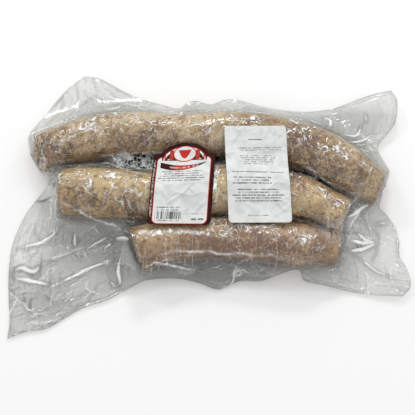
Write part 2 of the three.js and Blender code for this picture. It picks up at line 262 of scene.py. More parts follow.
class Curve:
    """A centripetal Catmull-Rom curve through its points, read by the share of its length."""

    SAMPLES = 60

    def __init__(self, points):
        p = np.array(points, float)
        p = np.vstack([2 * p[0] - p[1], p, 2 * p[-1] - p[-2]])
        t = np.linspace(0, 1, self.SAMPLES, endpoint=False)[:, None]
        pieces = []
        for p0, p1, p2, p3 in zip(p, p[1:], p[2:], p[3:]):
            d0, d1, d2 = (math.sqrt(np.linalg.norm(b - a)) for a, b in ((p0, p1), (p1, p2), (p2, p3)))
            m1 = ((p1 - p0) / d0 - (p2 - p0) / (d0 + d1) + (p2 - p1) / d1) * d1
            m2 = ((p2 - p1) / d1 - (p3 - p1) / (d1 + d2) + (p3 - p2) / d2) * d1
            a = 2 * p1 - 2 * p2 + m1 + m2
            b = 3 * p2 - 3 * p1 - 2 * m1 - m2
            pieces.append(((a * t + b) * t + m1) * t + p1)
        self.points = np.vstack(pieces + [p[-2][None]])
        steps = np.linalg.norm(np.diff(self.points, axis=0), axis=1)
        self.along = np.concatenate([[0], np.cumsum(steps)])
        self.length = self.along[-1]

    def at(self, share):
        s = np.asarray(share) * self.length
        return np.stack([np.interp(s, self.along, c) for c in self.points.T], axis=-1)


class Noise:
    """Smooth value noise in two dimensions, from -1 to 1, the same for the same seed."""

    SIZE = 128

    def __init__(self, seed):
        self.table = np.random.default_rng(seed).uniform(-1, 1, (self.SIZE, self.SIZE))

    def __call__(self, x, y):
        x0 = np.floor(x).astype(int)
        y0 = np.floor(y).astype(int)
        fx = smoothstep(0, 1, x - x0)
        fy = smoothstep(0, 1, y - y0)
        at = lambda i, j: self.table[i % self.SIZE, j % self.SIZE]
        low = at(x0, y0) * (1 - fx) + at(x0 + 1, y0) * fx
        high = at(x0, y0 + 1) * (1 - fx) + at(x0 + 1, y0 + 1) * fx
        return low * (1 - fy) + high * fy

    def layers(self, x, y, size, count=3):
        """Several octaves, the first of the given size."""
        total = 0
        for k in range(count):
            total = total + self(x / size * 2 ** k + 17.3 * k, y / size * 2 ** k + 9.1 * k) / 2 ** k
        return total / (2 - 0.5 ** (count - 1))

    def ridges(self, x, y, size):
        """Sharp ridges along winding lines, from 0 to 1."""
        bent_x = x + 0.25 * size * self(x / size + 40, y / size)
        bent_y = y + 0.25 * size * self(x / size, y / size + 40)
        first = 1 - np.abs(self(bent_x / size, bent_y / size)) * 2.2
        second = 1 - np.abs(self(bent_x / size * 1.7 + 31, bent_y / size * 1.7)) * 2.2
        return np.clip(0.6 * first + 0.4 * second, 0, None)


def lump(s, side):
    """Broad dents and swellings, as in the CAD model."""
    broad = 0.2 * np.sin(s / 28 - 3 * side)
    middling = 0.5 * np.sin(s / 17 + 2.2 * side)
    narrow = 0.3 * np.sin(s / 9.5 - 1.3 * side + 1.7)
    return broad + middling + narrow


class Sausage:
    """One sausage lying on the floor, measured in plan."""

    SAMPLES = 200
    DENT = 0.9  # finer unevenness than the CAD model's
    DENT_SIZE = 16

    def __init__(self, name, points, slants, seed):
        self.name = name
        self.slants = slants
        self.noise = Noise(seed)
        self.curve = Curve(points)
        share = np.linspace(0, 1, self.SAMPLES + 1)
        self.s = share * self.curve.length
        self.x, self.y, self.r = self.curve.at(share).T
        tx = np.gradient(self.x)
        ty = np.gradient(self.y)
        norm = np.hypot(tx, ty)
        self.tx = tx / norm
        self.ty = ty / norm

    def swell(self, s, side, r):
        """The radius of the uneven casing."""
        return r * (1 + LUMP * lump(s, side)) + self.DENT * self.noise.layers(s, side * 25, self.DENT_SIZE, 2)

    def beside(self, x, y):
        """For points in plan: the gap to the sausage, its radius, and how far the film on it lies above
        and below its axis (nan beside it)."""
        shape = np.shape(x)
        x = np.ravel(x)
        y = np.ravel(y)
        k = ((x[:, None] - self.x[None]) ** 2 + (y[:, None] - self.y[None]) ** 2).argmin(1)
        along = (x - self.x[k]) * self.tx[k] + (y - self.y[k]) * self.ty[k]
        across = (y - self.y[k]) * self.tx[k] - (x - self.x[k]) * self.ty[k]
        outward = np.where(k == 0, -along, np.where(k == self.SAMPLES, along, -1e3))
        slant = np.where(k == 0, *self.slants)
        s = np.clip(self.s[k] + along, 0, self.curve.length)
        r = np.interp(s, self.s, self.r)
        rho = self.swell(s, np.clip(across / r, -1, 1), r) + CLING
        half = np.sqrt(np.clip(rho ** 2 - across ** 2, 0, None))
        reach = slant * r
        upper = np.where(outward > -reach - CLING, np.minimum(half, -(outward - CLING) / slant), half)
        inside = (np.abs(across) < rho) & (outward < reach + CLING)
        upper = np.where(inside, np.maximum(upper, -half), np.nan)
        lower = np.where(inside, half, np.nan)
        gap = np.hypot(np.clip(np.abs(across) - r, 0, None), np.clip(outward, 0, None))
        return [a.reshape(shape) for a in (gap, r, upper, lower)]


SAUSAGES = [
    Sausage("sausage_front", FRONT_SAUSAGE, FRONT_SLANTS, SEED + 1),
    Sausage("sausage_middle", MIDDLE_SAUSAGE, MIDDLE_SLANTS, SEED + 2),
    Sausage("sausage_back", BACK_SAUSAGE, BACK_SLANTS, SEED + 3),
]


def film_at(plan):
    """The upper and lower height of the closed bag at points in plan, and the gap to the nearest sausage."""
    x, y = plan[..., 0], plan[..., 1]
    gaps, radii, uppers, lowers = np.swapaxes([sausage.beside(x, y) for sausage in SAUSAGES], 0, 1)
    gap = gaps.min(0)
    radius = np.take_along_axis(radii, gaps.argmin(0)[None], 0)[0]
    waves = WAVE * (1 + np.sin(x / 15 + y / 29) * np.sin(y / 17 - x / 41)) / 2
    low = add_spots(FILM_LOW + waves, x, y, FILM_LIFTS)
    near = np.exp(-((gap / FILM_FALL) ** 2))
    middle = low + (radius - FLOOR_PRESS - low) * near
    tent = PLY_HALF + TENT_HEIGHT * radius * np.clip(1 - gap / TENT_REACH, 0, None) ** 2
    top = middle + tent
    bottom = middle - tent
    for r, upper, lower in zip(radii, uppers, lowers):
        top = np.fmax(top, r + upper - FLOOR_PRESS)
        bottom = np.fmin(bottom, r - lower - FLOOR_PRESS)
    return top, np.clip(bottom, LOWEST_BASE, None), gap


FRONT, BACK, LEFT, RIGHT = (Curve(edge) for edge in (FRONT_EDGE, BACK_EDGE, LEFT_EDGE, RIGHT_EDGE))
CENTRING = np.array([-(LEFT.points[:, 0].min() + RIGHT.points[:, 0].max()) / 2, 0, 0])


def plan_at(u, v):
    """Places in the bag's plan, which is filled from its four edges."""
    un, vn = u[..., None], v[..., None]
    left_bow = LEFT.at(v) - (1 - vn) * LEFT_FRONT_CORNER - vn * LEFT_BACK_CORNER
    right_bow = RIGHT.at(v) - (1 - vn) * RIGHT_FRONT_CORNER - vn * RIGHT_BACK_CORNER
    across = (1 - vn) * FRONT.at(u) + vn * BACK.at(u)
    return across + (1 - un) ** EDGE_FADE * left_bow + un ** EDGE_FADE * right_bow


FILM_COLUMNS = 337
FILM_ROWS = 265
EVENING = 10  # cells over which the spacing of the grid's lines is evened
EVEN_SHARES = (1, 0.3)  # how far it is evened, across the sausages and along them
RELAXING = 20  # rounds that smooth the grid's lines


def blur(field, sigma):
    """A Gaussian blur down the columns, with the ends held."""
    reach = int(3 * sigma)
    weights = np.exp(-0.5 * (np.arange(-reach, reach + 1) / sigma) ** 2)
    weights /= weights.sum()
    padded = np.pad(field, ((reach, reach), (0, 0)), mode="edge")
    return np.apply_along_axis(np.convolve, 0, padded, weights, mode="valid")


def evened(u, v, axis):
    """The shares along one axis of the grid, moved so that its cells come out about as long."""
    plan = plan_at(u, v)
    points = np.dstack([plan, film_at(plan)[0]])
    values = u
    if axis == 0:
        points = points.swapaxes(0, 1)
        values = v.T
    steps = np.linalg.norm(np.diff(points, axis=1), axis=2)
    run = np.pad(np.cumsum(steps, 1), ((0, 0), (1, 0)))
    run = blur(run / run[:, -1:], EVENING)
    even = np.linspace(0, 1, run.shape[1])
    run = even + (run - even) * EVEN_SHARES[axis]
    moved = np.array([np.interp(even, *line) for line in zip(run, values)])
    return moved.T if axis == 0 else moved


def film_grid():
    """Places in plan of the film's grid, spread so that its cells are about as long on a sausage's side."""
    u, v = np.meshgrid(np.linspace(0, 1, FILM_COLUMNS), np.linspace(0, 1, FILM_ROWS))
    v = evened(u, v, 0)
    u = evened(u, v, 1)
    plan = plan_at(u, v)
    for _ in range(RELAXING):
        middle = plan[:-2, 1:-1] + plan[2:, 1:-1] + plan[1:-1, :-2] + plan[1:-1, 2:]
        plan[1:-1, 1:-1] += 0.5 * (middle / 4 - plan[1:-1, 1:-1])
    return plan


def grid_normals(points):
    normal = np.cross(np.gradient(points, axis=1), np.gradient(points, axis=0))
    return normal / np.linalg.norm(normal, axis=2, keepdims=True)


def pull_direction(x, y, gap, noise):
    """The direction of the wrinkles at points in plan, as an angle."""
    cos2 = np.zeros_like(x)
    sin2 = np.zeros_like(x)
    for x0, y0, x1, y1 in PULLS:
        dx, dy = x1 - x0, y1 - y0
        square = math.hypot(dx, dy) ** 2
        t = np.clip(((x - x0) * dx + (y - y0) * dy) / square, 0, 1)
        away = (x - x0 - t * dx) ** 2 + (y - y0 - t * dy) ** 2
        weight = np.exp(-away / PULL_REACH ** 2) + 1e-4
        cos2 += weight * (dx * dx - dy * dy) / square
        sin2 += weight * 2 * dx * dy / square
    flange = 0.5 * np.arctan2(sin2, cos2) + 0.5 * noise.layers(x, y, 30, 2)
    tight = math.pi / 2 + 1.5 * noise.layers(x + 400, y, 22, 2)
    return tight + (flange - tight) * smoothstep(0, 9, gap)


WHOLE, FIRST, LAST = slice(None), slice(None, -1), slice(1, None)
FIRST_TWO, LAST_TWO = slice(None, -2), slice(2, None)
# The grid's links, each as two slices: rows, columns and both diagonals, and those over two cells.
LINKS = [
    ((WHOLE, FIRST), (WHOLE, LAST)), ((FIRST, WHOLE), (LAST, WHOLE)),
    ((FIRST, FIRST), (LAST, LAST)), ((FIRST, LAST), (LAST, FIRST)),
]
LONG_LINKS = [((WHOLE, FIRST_TWO), (WHOLE, LAST_TWO)), ((FIRST_TWO, WHOLE), (LAST_TWO, WHOLE))]
RIM_LINES = ((0, WHOLE), (-1, WHOLE), (WHOLE, 0), (WHOLE, -1))
FIRM = 0.9  # how much of a link's error goes in one round
STIFF = 0.35  # against sharp bends
STRAIGHT = 0.9  # the share of their length that two links keep end to end
INWARD = 0.012  # back towards the base in each round, as the vacuum pulls


def spare_lengths(base, angle, spare):
    """The length of each link of the grid, with the spare length across the wrinkles added."""
    nx, ny = -np.sin(angle), np.cos(angle)
    rests = []
    for a, b in LINKS:
        edge = base[b] - base[a]
        length = np.linalg.norm(edge, axis=2)
        mean = lambda field: 0.5 * (field[a] + field[b])
        flat = np.hypot(edge[..., 0], edge[..., 1]) + 1e-9
        cos = (edge[..., 0] * mean(nx) + edge[..., 1] * mean(ny)) / flat
        rests.append(length * (1 + mean(spare) * (0.15 + 0.85 * cos ** 2)))
    return rests


def pull_link(points, ends, rest, share, push_only=False):
    """Moves the ends of links towards the length that they have at rest."""
    a, b = ends
    gap = points[b] - points[a]
    length = np.sqrt(np.sum(gap * gap, axis=2))
    excess = (length - rest) / length
    if push_only:
        excess = np.minimum(excess, 0)
    move = gap * (excess * share * 0.5)[..., None]
    points[a] += move
    points[b] -= move


def buckle(points, base, normal, rests, lower, rounds):
    """Lets a ply that is longer than its base buckle outward, under a label and off the floor."""
    ceiling = label_ceiling(base[..., 0], base[..., 1])
    rows, columns = rests[:2]
    long_rests = (rows[:, :-1] + rows[:, 1:], columns[:-1] + columns[1:])
    for _ in range(rounds):
        for ends, rest in zip(LINKS, rests):
            pull_link(points, ends, rest, FIRM)
        for ends, rest in zip(LONG_LINKS, long_rests):
            pull_link(points, ends, rest * STRAIGHT, STIFF, push_only=True)
        out = np.sum((points - base) * normal, axis=2)
        push = np.clip(-out, 0, None) - INWARD * np.clip(out, 0, None)
        points = points + push[..., None] * normal
        if lower:
            points[..., 2] = np.maximum(points[..., 2], LOWEST_FILM)
        else:
            points[..., 2] = np.minimum(points[..., 2], ceiling)
        for line in RIM_LINES:
            points[line] = base[line]
    return points


def refine(field, shape):
    """A coarse grid's field, read on a finer grid."""
    v, u = (np.linspace(0, old - 1, new) for old, new in zip(field.shape, shape))
    i = np.minimum(v.astype(int), field.shape[0] - 2)
    j = np.minimum(u.astype(int), field.shape[1] - 2)
    fv = (v - i)[:, None, None]
    fu = (u - j)[None, :, None]
    near = field[i][:, j] * (1 - fu) + field[i][:, j + 1] * fu
    far = field[i + 1][:, j] * (1 - fu) + field[i + 1][:, j + 1] * fu
    return near * (1 - fv) + far * fv


def line_field(x, y, noise, lines):
    """The height of the lines at points in plan: each is highest along its middle and tapers to its ends."""
    height = np.zeros_like(x)
    wx = x + 1.2 * noise(x / 9, y / 9)
    wy = y + 1.2 * noise(x / 9 + 50, y / 9)
    for tall, wide, *line in lines:
        curve = Curve(np.reshape(line, (-1, 2)))
        share = np.linspace(0, 1, max(int(curve.length / 1.5), 4))
        px, py = curve.at(share).T
        box = (wx > px.min() - 12) & (wx < px.max() + 12) & (wy > py.min() - 12) & (wy < py.max() + 12)
        d = np.hypot(wx[box][:, None] - px[None], wy[box][:, None] - py[None])
        taper = np.sin(math.pi * np.clip(share[d.argmin(1)], 0.04, 0.96)) ** 0.5
        height[box] = np.maximum(height[box], tall * taper * np.clip(1 - d.min(1) / wide, 0, None))
    return height


def zigzags(runs, seed):
    """The lines of zigzag runs, each side of a run in turn."""
    rng = np.random.default_rng(seed)
    lines = []
    for x0, y0, x1, y1, turns, aside, tall in runs:
        share = np.linspace(0, 1, turns + 1) + rng.uniform(-0.35, 0.35, turns + 1) / turns
        out = aside * rng.uniform(0.25, 1, turns + 1) * (-1) ** np.arange(turns + 1)
        dx, dy = x1 - x0, y1 - y0
        length = math.hypot(dx, dy)
        turning = np.transpose([x0 + dx * share - dy / length * out, y0 + dy * share + dx / length * out])
        for start, end in zip(turning, turning[1:]):
            if rng.random() < SCRIBBLE_SHARE:
                lines.append((tall * rng.uniform(0.6, 1.2), SCRIBBLE_WIDTH, *start, *end))
    return lines


def crest_at(sausage, x):
    """The place of a sausage's axis and the height of its crest at a given x, as in the CAD model."""
    y = np.interp(x, sausage.x, sausage.y)
    r = np.interp(x, sausage.x, sausage.r)
    return y, 2 * r * (1 + LUMP / 2) - FLOOR_PRESS


def drape_at(x, y):
    """A label's underside, which bridges the valleys between the crests, as in the CAD model."""
    (front_y, front_z), (middle_y, middle_z), (back_y, back_z) = (crest_at(one, x) for one in SAUSAGES)
    behind = y > middle_y
    other_y = np.where(behind, back_y, front_y)
    other_z = np.where(behind, back_z, front_z)
    sag = np.where(behind, *LABEL_SAG)
    s = (y - middle_y) / (other_y - middle_y)
    return middle_z + (other_z - middle_z) * s - sag * np.sin(math.pi * s) ** 2 + LABEL_GAP


def label_outline(label, u, v):
    """A label's flat outline, from the middle of its lower edge, for u and v from 0 to 1."""
    x = (u - 0.5) * label["width"]
    beyond = np.clip(np.abs(x) - (label["width"] / 2 - LABEL_CORNER), 0, None)
    corner = LABEL_CORNER - np.sqrt(np.clip(LABEL_CORNER ** 2 - beyond ** 2, 0, None))
    rise = 0
    if label["arch"]:
        inside = np.clip(np.cos(math.pi * x / label["arch_width"]), 0, None)
        rise = label["arch"] * np.where(np.abs(x) < label["arch_width"] / 2, inside ** ARCH_FULLNESS, 0)
    return x, corner + (label["height"] - corner + rise - corner) * v


def label_ceiling(x, y):
    """The height that the film stays under because a label lies on it, or a great height elsewhere."""
    ceiling = np.full(np.shape(x), 1e3)
    for label in (WEIGHT_LABEL, LIST_LABEL):
        fy = y - label["y"]
        fx = x - label["x"] - label["lean"] * fy
        half = label["width"] / 2 + LABEL_MARGIN
        tall = label["height"] + label["arch"] + LABEL_MARGIN
        under = (np.abs(fx) < half) & (fy > -LABEL_MARGIN) & (fy < tall)
        ceiling = np.where(under, drape_at(x, y) - LABEL_REST, ceiling)
    return ceiling


def add_object(name, data):
    obj = bpy.data.objects.new(name, data)
    bpy.context.scene.collection.objects.link(obj)
    return obj


def new_mesh(name, points, faces, smooth=True):
    """A mesh object from points in millimetres, shifted as the CAD model is so that its box is centred."""
    mesh = bpy.data.meshes.new(name)
    mesh.from_pydata(((np.asarray(points, float) + CENTRING) * MM).tolist(), [], faces)
    mesh.update()
    if smooth:
        mesh.shade_smooth()
    return add_object(name, mesh)


def numbers(field):
    """The numbers of a grid's points, row by row."""
    return np.arange(field.size).reshape(field.shape)


def quads(index, flip=False):
    """The quads of a grid of point numbers, row by row."""
    faces = np.stack([index[:-1, :-1], index[:-1, 1:], index[1:, 1:], index[1:, :-1]], -1).reshape(-1, 4)
    return faces[:, ::-1] if flip else faces


def closed(index):
    """A grid of point numbers whose rows go round to their start."""
    return np.concatenate([index, index[:, :1]], axis=1)


def add_marks(obj, marks):
    """Values for each point, read by the materials under their names."""
    for name, values in marks.items():
        layer = obj.data.attributes.new(name, "FLOAT", "POINT")
        layer.data.foreach_set("value", np.asarray(values, np.float32).ravel())


# For each level: how much coarser than the film's grid it is, the rounds run there, the size and height of
# the unevenness that it starts from, the share of the spare length that it takes, and how much of the main
# creases' height it adds.
LEVELS = [(4, 160, 22, 1.6, 0.5, 0.5), (2, 140, 9, 0.8, 0.8, 0.3), (1, 80, 4, 0.35, 1, 0.35)]
FLANGE_SPARE = 0.09
TIGHT_SPARE = 0.13


def make_ply(plan, lower, levels, noise):
    """The points of one ply, buckled out from its base, with the gap to the sausages there and the base."""
    top, bottom, full_gap = film_at(plan)
    full_base = np.dstack([plan, bottom if lower else top])
    shift = np.zeros_like(full_base)
    for step, rounds, size, height, share, crease_share in levels:
        shape = ((FILM_ROWS - 1) // step + 1, (FILM_COLUMNS - 1) // step + 1)
        base = refine(full_base, shape)
        gap = refine(full_gap[..., None], shape)[..., 0]
        x, y = base[..., 0], base[..., 1]
        angle = pull_direction(x, y, gap, noise)
        patch = np.clip(0.55 + 1.1 * noise.layers(x + 90, y + 30, 26, 2), 0.08, 1.5)
        spare = patch * (TIGHT_SPARE + (FLANGE_SPARE - TIGHT_SPARE) * smoothstep(0, 8, gap))
        rests = spare_lengths(base, angle, spare * share)
        normal = grid_normals(base) * (-1 if lower else 1)
        start = height * noise.ridges(x + 7 * step, y, size)
        if not lower:
            start = start + line_field(x, y, noise, CREASES) * crease_share
        shift = refine(shift, shape) + start[..., None] * normal
        points = buckle(base + shift, base, normal, rests, lower, rounds)
        shift = points - base
    return points, gap, base


def sharpness(points):
    """How far each point of a grid stands out from its neighbours."""
    mean = sum(np.roll(points, by, axis) for axis in (0, 1) for by in (1, -1)) / 4
    out = np.sum((points - mean) * grid_normals(points), axis=2)
    for line in RIM_LINES:
        out[line] = 0
    return out


def make_film(name, plan, lower, levels, seed):
    noise = Noise(seed)
    points, gap, base = make_ply(plan, lower, levels, noise)
    x, y = points[..., 0], points[..., 1]
    obj = new_mesh(name, points.reshape(-1, 3), quads(numbers(x), flip=lower).tolist())

    # Painted glint lines, on the upper ply only.
    painted_glint_lines = [] if lower else PAINTED_GLINT_LINES + zigzags(GLINT_ZIGZAGS, SEED + 9)
    # The shade mark holds painted shadow: beside the sausages, at the listed spots and along the crevices.
    shade = add_spots(NEAR_SHADE * np.exp(-gap / NEAR_REACH) * (gap > 0), x, y, SHADES)
    shade = shade * smoothstep(0, 3, gap) + UNEVEN_SHADE * Noise(seed + 5).layers(x, y, 24, 3)
    crevice = 0 if lower else line_field(x, y, noise, CREVICES)
    crumple = 0
    for crumple_x, crumple_y, reach_x, reach_y, share in CRUMPLES:
        crumple += share * np.exp(-((x - crumple_x) / reach_x) ** 2 - ((y - crumple_y) / reach_y) ** 2)
    toward = np.array(GLINT_NORMAL) / np.linalg.norm(GLINT_NORMAL)
    row, column = np.indices(x.shape)
    edge = np.minimum(np.minimum(row, row[::-1]), np.minimum(column, column[:, ::-1]))
    add_marks(obj, {
        "crease": line_field(x, y, noise, CREASES),
        "bright": line_field(x, y, noise, painted_glint_lines),
        "bend": sharpness(points) - sharpness(base),
        "shade": shade + LEAST_SHADE + crevice,
        "crumple": crumple,
        "bare": np.clip(add_spots(0, x, y, [BARE]), 0, 1),
        "tight": 1 - smoothstep(0, 12, gap),
        # Where the painted glints on the sausages are strongest.
        "lit": smoothstep(0.8, 0.97, grid_normals(base) @ toward),
        "rim": np.clip(1 - edge / 2, 0, 1),
    })
    return obj


SIDES = 96
RING_STEP = 1.7
END_RINGS = 14
ROUNDING = 2.2  # of a cut end's edge
SKIN_GRAIN = 0.22
CUT_GRAIN = 0.8
CUT_BULGE = 0.8


def make_sausage(sausage):
    """A casing with its fine unevenness, and two coarse cut ends."""
    length = sausage.curve.length
    rings = int(length / RING_STEP)
    angle = np.arange(SIDES) / SIDES * 2 * math.pi
    s, a = np.meshgrid(np.linspace(0, length, rings), angle, indexing="ij")
    axis = sausage.curve.at(s / length)
    tx = np.interp(s, sausage.s, sausage.tx)
    ty = np.interp(s, sausage.s, sausage.ty)
    radius = sausage.swell(s, np.cos(a), axis[..., 2])
    radius = radius - SKIN_GRAIN * (1 + sausage.noise.layers(s * 1.7 + 11, a * 25 * 1.7, 5, 3))
    near_end = np.minimum(s, length - s)
    beyond = 1 - np.clip(near_end / ROUNDING, 0, 1)
    radius = radius - ROUNDING * (1 - np.sqrt(np.clip(1 - beyond ** 2, 0, 1)))

    def place(rows, across, up):
        """Points aside from the axis and above it, at some rings, with the lean of the cuts."""
        left, right = (1 - smoothstep(0, LEAN_REACH, away[rows]) for away in (s, length - s))
        shift = sausage.slants[0] * up * left - sausage.slants[1] * up * right
        x = axis[rows, :, 0] - ty[rows] * across + tx[rows] * shift
        y = axis[rows, :, 1] + tx[rows] * across + ty[rows] * shift
        return np.dstack([x, y, np.clip(axis[rows, :, 2] + up - FLOOR_PRESS, 0.35, None)])

    points = [place(WHOLE, radius * np.cos(a), radius * np.sin(a)).reshape(-1, 3)]
    index = numbers(s)
    faces = [quads(closed(index), flip=True)]
    fans = []
    tip = s.size - 1
    share, around = np.meshgrid(np.linspace(1, 0, END_RINGS + 1)[1:-1], angle, indexing="ij")
    for end, row in enumerate((0, rings - 1)):
        here = slice(row, row + 1)
        sign = 2 * end - 1
        r = radius[here] * share
        across, up = r * np.cos(around), r * np.sin(around)
        face = place(here, across, up)
        grain = sausage.noise.layers(across + 60 * end, up, 6, 3)
        bulge = CUT_GRAIN * grain * np.clip((1 - share) * 5, 0, 1) + CUT_BULGE * (1 - share ** 2)
        face[..., 0] += sign * tx[row, 0] * bulge
        face[..., 1] += sign * ty[row, 0] * bulge
        points += [face.reshape(-1, 3), face[-1].mean(0)[None]]
        ids = closed(np.vstack([index[here], tip + 1 + numbers(share)]))
        faces.append(quads(ids, flip=end == 1))
        tip += share.size + 1
        last = ids[-1].tolist()
        pairs = zip(last, last[1:]) if end == 0 else zip(last[1:], last)
        fans += [[*pair, tip] for pair in pairs]
    points = np.vstack(points)
    obj = new_mesh(sausage.name, points, np.vstack(faces).tolist() + fans)

    marks = {"cut": np.arange(len(points)) >= s.size}
    # The patch marks carry the meat's own tone, and also painted light on the upper sides and painted shade
    # on the lower sides.
    for name, patches in (("fat_and_light", FAT_AND_LIGHT_PATCHES), ("brown_and_shade", BROWN_AND_SHADE_PATCHES), ("red", RED_PATCHES)):
        marks[name] = np.clip(add_spots(0, points[:, 0], points[:, 1], patches), 0, MOST_PATCH)
    near = np.pad(near_end.ravel(), (0, len(points) - s.size))
    marks["red"] += CUT_REDNESS * (1 - smoothstep(1, CUT_RIM, near))
    add_marks(obj, marks)
    return obj


LABEL_CELL = 0.7
PAPER = 0.35  # thickness shown
LABEL_RIPPLE = 0.7
UV_MM = 100.0  # millimetres of a label for each unit of its UV

# Folds in the labels, as (x0, y0, x1, y1, height, half width) from the middle of the lower edge.
WEIGHT_FOLDS = [
    (-13.5, 21.3, 0, 29.9, 1.9, 2), (0, 29.9, 11, 41.6, 1.7, 2), (8, 37.3, 13.8, 30.9, 1.2, 2),
    (16, 13.9, 24.5, 23.5, 1.3, 2.5), (-21, 37, -15, 27, 1, 2.5), (2, 10, 8, 19, 0.9, 2),
]
LIST_FOLDS = [
    (-14.4, 101.2, -18.6, 94.4, 1.1, 2), (-18.6, 94.4, -25, 84.2, 1.2, 2), (-14.4, 101.2, -5, 103, 1, 2),
    (17.3, 102.6, 20.1, 86.2, 0.9, 2), (31, 98.8, 21.4, 87.9, 1.0, 2.5), (-31, 74, -18, 76.5, 0.8, 2.5),
    (4, 76, 31, 77.5, 1.6, 3), (17.3, 40.6, 31.5, 38.7, 1.5, 2.5), (17, 22.3, 24.5, 12.5, 1.3, 2.5),
    (24, 24, 31, 25.5, 0.7, 2), (-6, 62, 12, 57, 0.5, 3), (-28, 57, -10, 48, 0.5, 3),
]


def make_label(name, label, folds, seed):
    """A thin wavy sheet of paper, with its print's coordinates as UV."""
    noise = Noise(seed)
    columns = int(label["width"] / LABEL_CELL)
    rows = int((label["height"] + label["arch"]) / LABEL_CELL)
    u, v = np.meshgrid(np.linspace(0, 1, columns), np.linspace(0, 1, rows))
    fx, fy = label_outline(label, u, v)
    x = label["x"] + fx + label["lean"] * fy
    y = label["y"] + fy
    ripple = noise.layers(fx + 0.4 * fy, fy, 22, 3) * LABEL_RIPPLE
    for x0, y0, x1, y1, tall, wide in folds:
        dx, dy = x1 - x0, y1 - y0
        t = np.clip(((fx - x0) * dx + (fy - y0) * dy) / (dx * dx + dy * dy), 0, 1)
        d = np.hypot(fx - x0 - t * dx, fy - y0 - t * dy) + 0.6 * noise(fx / 6, fy / 6)
        taper = np.sin(math.pi * np.clip(t, 0.08, 0.92)) ** 0.5
        ripple = ripple + tall * np.clip(1 - np.abs(d) / wide, 0, None) * taper
    z = drape_at(x, y) + LABEL_REST + np.clip(ripple + 0.25, 0, None)
    points = np.concatenate([np.dstack([x, y, height]).reshape(-1, 3) for height in (z + PAPER, z)])
    index = numbers(x)
    rim = np.concatenate([index[0, :-1], index[:-1, -1], index[-1, :0:-1], index[:0:-1, 0]])
    following = np.roll(rim, -1)
    sides = np.stack([rim + x.size, following + x.size, following, rim], axis=1)
    faces = np.vstack([quads(index), quads(index + x.size, flip=True), sides]).tolist()
    obj = new_mesh(name, points, faces)
    uv = np.tile(np.stack([fx, fy], axis=-1).reshape(-1, 2) / UV_MM, (2, 1))
    corners = np.empty(len(obj.data.loops), np.int32)
    obj.data.loops.foreach_get("vertex_index", corners)
    layer = obj.data.uv_layers.new(name="UVMap")
    layer.data.foreach_set("uv", uv.astype(np.float32)[corners].ravel())
    return obj


CLEAR_TINT = (0.977, 0.979, 0.971)
# White of the diffuse layer that stands for the film's faint haze and its painted glints.
WHITE_OF_HAZE_AND_GLINTS = (0.97, 0.975, 0.97)
MOST_SHINE = 0.13
LEAST_HAZE = 0.008
FILM_MARKS = ("crease", "bend", "shade", "crumple", "tight", "lit", "bare", "bright", "rim")

INK = (0.06, 0.06, 0.062)
DARK_FIELD = (0.035, 0.006, 0.006)
RED = (0.5, 0.03, 0.02)
LIGHT_INK = (0.62, 0.5, 0.44)

# Rows of plain bars in place of text, as (left, right, lowest, highest, rows, share of ink, length of a bar).
WEIGHT_ROWS = [
    (-25.5, 23, 43.4, 56.6, 5, 0.62, 0.8), (-24.7, 0, 13.6, 18.8, 2, 0.5, 0.7),
    (-24.5, 1.5, 2.9, 4.6, 1, 0.5, 0.6), (7, 25, 10, 11.8, 1, 0.55, 0.7),
    (10, 24.5, 3.4, 7.8, 1, 0.75, 1.7),
]
LIST_ROWS = [
    (-7.6, 6.6, 87.2, 89.6, 1, 0.75, 1.1), (-20, 28, 76.4, 80.8, 2, 0.6, 0.55),
    (-19, 22, 60.8, 72.4, 5, 0.6, 0.55), (-27.3, 26.3, 50.9, 53.3, 1, 0.75, 0.8),
    (-27, 14, 38, 47.2, 3, 0.6, 0.6), (-27.5, 26, 20.6, 34.6, 5, 0.6, 0.6),
    (-12.8, 8.5, 6.4, 8.2, 1, 0.6, 0.8),
]


def new_material(name):
    material = bpy.data.materials.new(name)
    material.use_nodes = True
    material.node_tree.nodes.clear()
    return material, Nodes(material.node_tree)


def operation(name):
    return lambda value, other=0.0: value.nodes.math(name, value, other)


class Value:
    """A number in a shader, which takes plain arithmetic: each operation makes a math node."""

    def __init__(self, nodes, socket):
        self.nodes = nodes
        self.socket = socket

    __add__ = __radd__ = operation("ADD")
    __mul__ = __rmul__ = operation("MULTIPLY")
    __sub__ = operation("SUBTRACT")
    __truediv__ = operation("DIVIDE")
    __pow__ = operation("POWER")
    __gt__ = operation("GREATER_THAN")
    __lt__ = operation("LESS_THAN")
    __abs__ = operation("ABSOLUTE")

    def __rsub__(self, other):
        return self.nodes.math("SUBTRACT", other, self)


